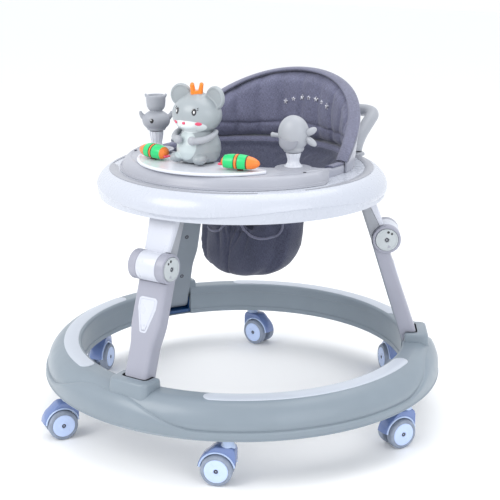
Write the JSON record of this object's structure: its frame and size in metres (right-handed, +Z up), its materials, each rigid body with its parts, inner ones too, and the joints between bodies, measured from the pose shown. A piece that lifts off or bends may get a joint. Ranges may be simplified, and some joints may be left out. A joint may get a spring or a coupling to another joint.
{
  "type": "baby walker",
  "caption": "Round castored baby walker: three folding legs carry a toy tray with a fabric bucket seat, a curved padded backrest and a push handle.",
  "frame": {"origin": "centre of the floor ring, on the floor", "axes": "+Z up, front (where the child looks) towards -Y, +X to the child's left when seated facing -Y"},
  "size_m": [0.692, 0.692, 0.5841],
  "materials": {
    "ring_grey": "semi-gloss moulded",
    "white_trim": "gloss",
    "dark_blue": "semi-gloss",
    "leg_grey": "satin moulded",
    "cap_grey": "satin",
    "white_shell": "gloss moulded",
    "lavender": "semi-gloss",
    "wheel_blue": "satin with grey rubber tread",
    "panel_grey": "satin",
    "denim": "woven cotton blend",
    "toy_grey": "satin",
    "toy_orange": "gloss"
  },
  "bodies": {
    "base": {"base_ring": "ring_grey", "base_under_cover": "ring_grey", "base_inlay_1": "white_trim", "base_inlay_2": "white_trim", "base_inlay_3": "white_trim", "pivot_cradle_1": "dark_blue", "pivot_cradle_2": "dark_blue", "pivot_cradle_3": "dark_blue"},
    "lower_leg_1": {"lower_leg_1": "leg_grey", "leg_inlay_1": "white_trim", "knee_pin_1": "cap_grey"},
    "upper_leg_1": {"upper_leg_cover_1": "white_shell", "upper_leg_back_1": "leg_grey"},
    "knee_button_1": {"knee_button_1": "cap_grey"},
    "lower_leg_2": {"lower_leg_2": "leg_grey", "leg_inlay_2": "white_trim", "knee_pin_2": "cap_grey"},
    "upper_leg_2": {"upper_leg_cover_2": "white_shell", "upper_leg_back_2": "leg_grey"},
    "knee_button_2": {"knee_button_2": "cap_grey"},
    "lower_leg_3": {"lower_leg_3": "leg_grey", "leg_inlay_3": "white_trim", "knee_pin_3": "cap_grey"},
    "upper_leg_3": {"upper_leg_cover_3": "white_shell", "upper_leg_back_3": "leg_grey"},
    "knee_button_3": {"knee_button_3": "cap_grey"},
    "tray": {"tray_shell": "white_shell", "seat_ring": "cap_grey", "toy_panel": "panel_grey", "toy_plate": "white_trim", "backrest_shell": "cap_grey", "back_cushion": "denim", "seat_pouch": "denim", "push_handle": "panel_grey", "toy_post_left": "white_trim", "toy_post_right": "white_trim", "mouse": "toy_grey", "crown": "toy_orange"},
    "spinner_left": {"spinner_left": "panel_grey"},
    "carrot_left": {"carrot_left": "toy_orange"},
    "spinner_right": {"spinner_right": "cap_grey"},
    "carrot_right": {"carrot_right": "toy_orange"},
    "caster_1": {"caster_hood_1": "lavender"},
    "wheel_1_a": {"caster_wheel_1_a": "wheel_blue"},
    "wheel_1_b": {"caster_wheel_1_b": "wheel_blue"},
    "caster_2": {"caster_hood_2": "lavender"},
    "wheel_2_a": {"caster_wheel_2_a": "wheel_blue"},
    "wheel_2_b": {"caster_wheel_2_b": "wheel_blue"},
    "caster_3": {"caster_hood_3": "lavender"},
    "wheel_3_a": {"caster_wheel_3_a": "wheel_blue"},
    "wheel_3_b": {"caster_wheel_3_b": "wheel_blue"},
    "caster_4": {"caster_hood_4": "lavender"},
    "wheel_4_a": {"caster_wheel_4_a": "wheel_blue"},
    "wheel_4_b": {"caster_wheel_4_b": "wheel_blue"},
    "caster_5": {"caster_hood_5": "lavender"},
    "wheel_5_a": {"caster_wheel_5_a": "wheel_blue"},
    "wheel_5_b": {"caster_wheel_5_b": "wheel_blue"},
    "caster_6": {"caster_hood_6": "lavender"},
    "wheel_6_a": {"caster_wheel_6_a": "wheel_blue"},
    "wheel_6_b": {"caster_wheel_6_b": "wheel_blue"}
  },
  "joints": [
    {"name": "leg_fold_1", "type": "hinge", "parent": "base", "child": "lower_leg_1", "pos_m": [0, -0.30279, 0.10356], "axis": [-1, 0, 0], "range_deg": [0, 60], "deforming": ["seat_pouch"]},
    {"name": "knee_fold_1", "type": "hinge", "parent": "lower_leg_1", "child": "upper_leg_1", "pos_m": [0, -0.248, 0.313], "axis": [1, 0, 0], "range_deg": [0, 165.7]},
    {"name": "leg_fold_2", "type": "hinge", "parent": "base", "child": "lower_leg_2", "pos_m": [0.26222, 0.15139, 0.10356], "axis": [0.5, -0.866, 0], "range_deg": [0, 60]},
    {"name": "knee_fold_2", "type": "hinge", "parent": "lower_leg_2", "child": "upper_leg_2", "pos_m": [0.21477, 0.124, 0.313], "axis": [-0.5, 0.866, 0], "range_deg": [0, 165.7]},
    {"name": "leg_fold_3", "type": "hinge", "parent": "base", "child": "lower_leg_3", "pos_m": [-0.26222, 0.15139, 0.10356], "axis": [0.5, 0.866, 0], "range_deg": [0, 60]},
    {"name": "knee_fold_3", "type": "hinge", "parent": "lower_leg_3", "child": "upper_leg_3", "pos_m": [-0.21477, 0.124, 0.313], "axis": [-0.5, -0.866, 0], "range_deg": [0, 165.7]},
    {"name": "tray_level", "type": "hinge", "parent": "upper_leg_1", "child": "tray", "pos_m": [0, -0.19998, 0.41082], "axis": [-1, 0, 0], "range_deg": [0, 105.7]},
    {"name": "knee_button_press_1", "type": "slide", "parent": "lower_leg_1", "child": "knee_button_1", "axis": [1, 0, 0], "range_m": [0, 0.0025], "stiffness_N_per_m": 400},
    {"name": "knee_button_press_2", "type": "slide", "parent": "lower_leg_2", "child": "knee_button_2", "axis": [-0.5, 0.866, 0], "range_m": [0, 0.0025], "stiffness_N_per_m": 400},
    {"name": "knee_button_press_3", "type": "slide", "parent": "lower_leg_3", "child": "knee_button_3", "axis": [-0.5, -0.866, 0], "range_m": [0, 0.0025], "stiffness_N_per_m": 400},
    {"name": "spinner_turn_left", "type": "hinge", "parent": "tray", "child": "spinner_left", "pos_m": [-0.147, -0.046, 0.485], "axis": [0, 0, 1], "continuous": true},
    {"name": "carrot_press_left", "type": "slide", "parent": "tray", "child": "carrot_left", "axis": [0, 0, -1], "range_m": [0, 0.0025], "stiffness_N_per_m": 400},
    {"name": "spinner_turn_right", "type": "hinge", "parent": "tray", "child": "spinner_right", "pos_m": [0.136, -0.055, 0.478], "axis": [0, 0, 1], "continuous": true},
    {"name": "carrot_press_right", "type": "slide", "parent": "tray", "child": "carrot_right", "axis": [0, 0, -1], "range_m": [0, 0.0025], "stiffness_N_per_m": 400},
    {"name": "caster_swivel_1", "type": "hinge", "parent": "base", "child": "caster_1", "pos_m": [0.1614, -0.27955, 0.07], "axis": [0, 0, 1], "continuous": true},
    {"name": "wheel_roll_1_a", "type": "hinge", "parent": "caster_1", "child": "wheel_1_a", "pos_m": [0.14673, -0.28593, 0.025], "axis": [0.3987, -0.9171, 0], "continuous": true},
    {"name": "wheel_roll_1_b", "type": "hinge", "parent": "caster_1", "child": "wheel_1_b", "pos_m": [0.14673, -0.28593, 0.025], "axis": [0.3987, -0.9171, 0], "continuous": true},
    {"name": "caster_swivel_2", "type": "hinge", "parent": "base", "child": "caster_2", "pos_m": [0.3228, 0, 0.07], "axis": [0, 0, 1], "continuous": true},
    {"name": "wheel_roll_2_a", "type": "hinge", "parent": "caster_2", "child": "wheel_2_a", "pos_m": [0.31541, -0.01419, 0.025], "axis": [0.887, -0.4617, 0], "continuous": true},
    {"name": "wheel_roll_2_b", "type": "hinge", "parent": "caster_2", "child": "wheel_2_b", "pos_m": [0.31541, -0.01419, 0.025], "axis": [0.887, -0.4617, 0], "continuous": true},
    {"name": "caster_swivel_3", "type": "hinge", "parent": "base", "child": "caster_3", "pos_m": [0.1614, 0.27955, 0.07], "axis": [0, 0, 1], "continuous": true},
    {"name": "wheel_roll_3_a", "type": "hinge", "parent": "caster_3", "child": "wheel_3_a", "pos_m": [0.14989, 0.29067, 0.025], "axis": [-0.6947, -0.7193, 0], "continuous": true},
    {"name": "wheel_roll_3_b", "type": "hinge", "parent": "caster_3", "child": "wheel_3_b", "pos_m": [0.14989, 0.29067, 0.025], "axis": [-0.6947, -0.7193, 0], "continuous": true},
    {"name": "caster_swivel_4", "type": "hinge", "parent": "base", "child": "caster_4", "pos_m": [-0.1614, 0.27955, 0.07], "axis": [0, 0, 1], "continuous": true},
    {"name": "wheel_roll_4_a", "type": "hinge", "parent": "caster_4", "child": "wheel_4_a", "pos_m": [-0.1455, 0.27774, 0.025], "axis": [0.1132, 0.9936, 0], "continuous": true},
    {"name": "wheel_roll_4_b", "type": "hinge", "parent": "caster_4", "child": "wheel_4_b", "pos_m": [-0.1455, 0.27774, 0.025], "axis": [0.1132, 0.9936, 0], "continuous": true},
    {"name": "caster_swivel_5", "type": "hinge", "parent": "base", "child": "caster_5", "pos_m": [-0.3228, 0, 0.07], "axis": [0, 0, 1], "continuous": true},
    {"name": "wheel_roll_5_a", "type": "hinge", "parent": "caster_5", "child": "wheel_5_a", "pos_m": [-0.31746, -0.01508, 0.025], "axis": [0.9426, 0.3338, 0], "continuous": true},
    {"name": "wheel_roll_5_b", "type": "hinge", "parent": "caster_5", "child": "wheel_5_b", "pos_m": [-0.31746, -0.01508, 0.025], "axis": [0.9426, 0.3338, 0], "continuous": true},
    {"name": "caster_swivel_6", "type": "hinge", "parent": "base", "child": "caster_6", "pos_m": [-0.1614, -0.27955, 0.07], "axis": [0, 0, 1], "continuous": true},
    {"name": "wheel_roll_6_a", "type": "hinge", "parent": "caster_6", "child": "wheel_6_a", "pos_m": [-0.16976, -0.29319, 0.025], "axis": [0.8526, -0.5225, 0], "continuous": true},
    {"name": "wheel_roll_6_b", "type": "hinge", "parent": "caster_6", "child": "wheel_6_b", "pos_m": [-0.16976, -0.29319, 0.025], "axis": [0.8526, -0.5225, 0], "continuous": true}
  ],
  "couplings": [
    {"joint": "knee_fold_1", "follows": "leg_fold_1", "ratio": 2.76},
    {"joint": "leg_fold_2", "follows": "leg_fold_1", "ratio": 1},
    {"joint": "knee_fold_2", "follows": "leg_fold_1", "ratio": 2.76},
    {"joint": "leg_fold_3", "follows": "leg_fold_1", "ratio": 1},
    {"joint": "knee_fold_3", "follows": "leg_fold_1", "ratio": 2.76},
    {"joint": "tray_level", "follows": "leg_fold_1", "ratio": 1.76}
  ]
}
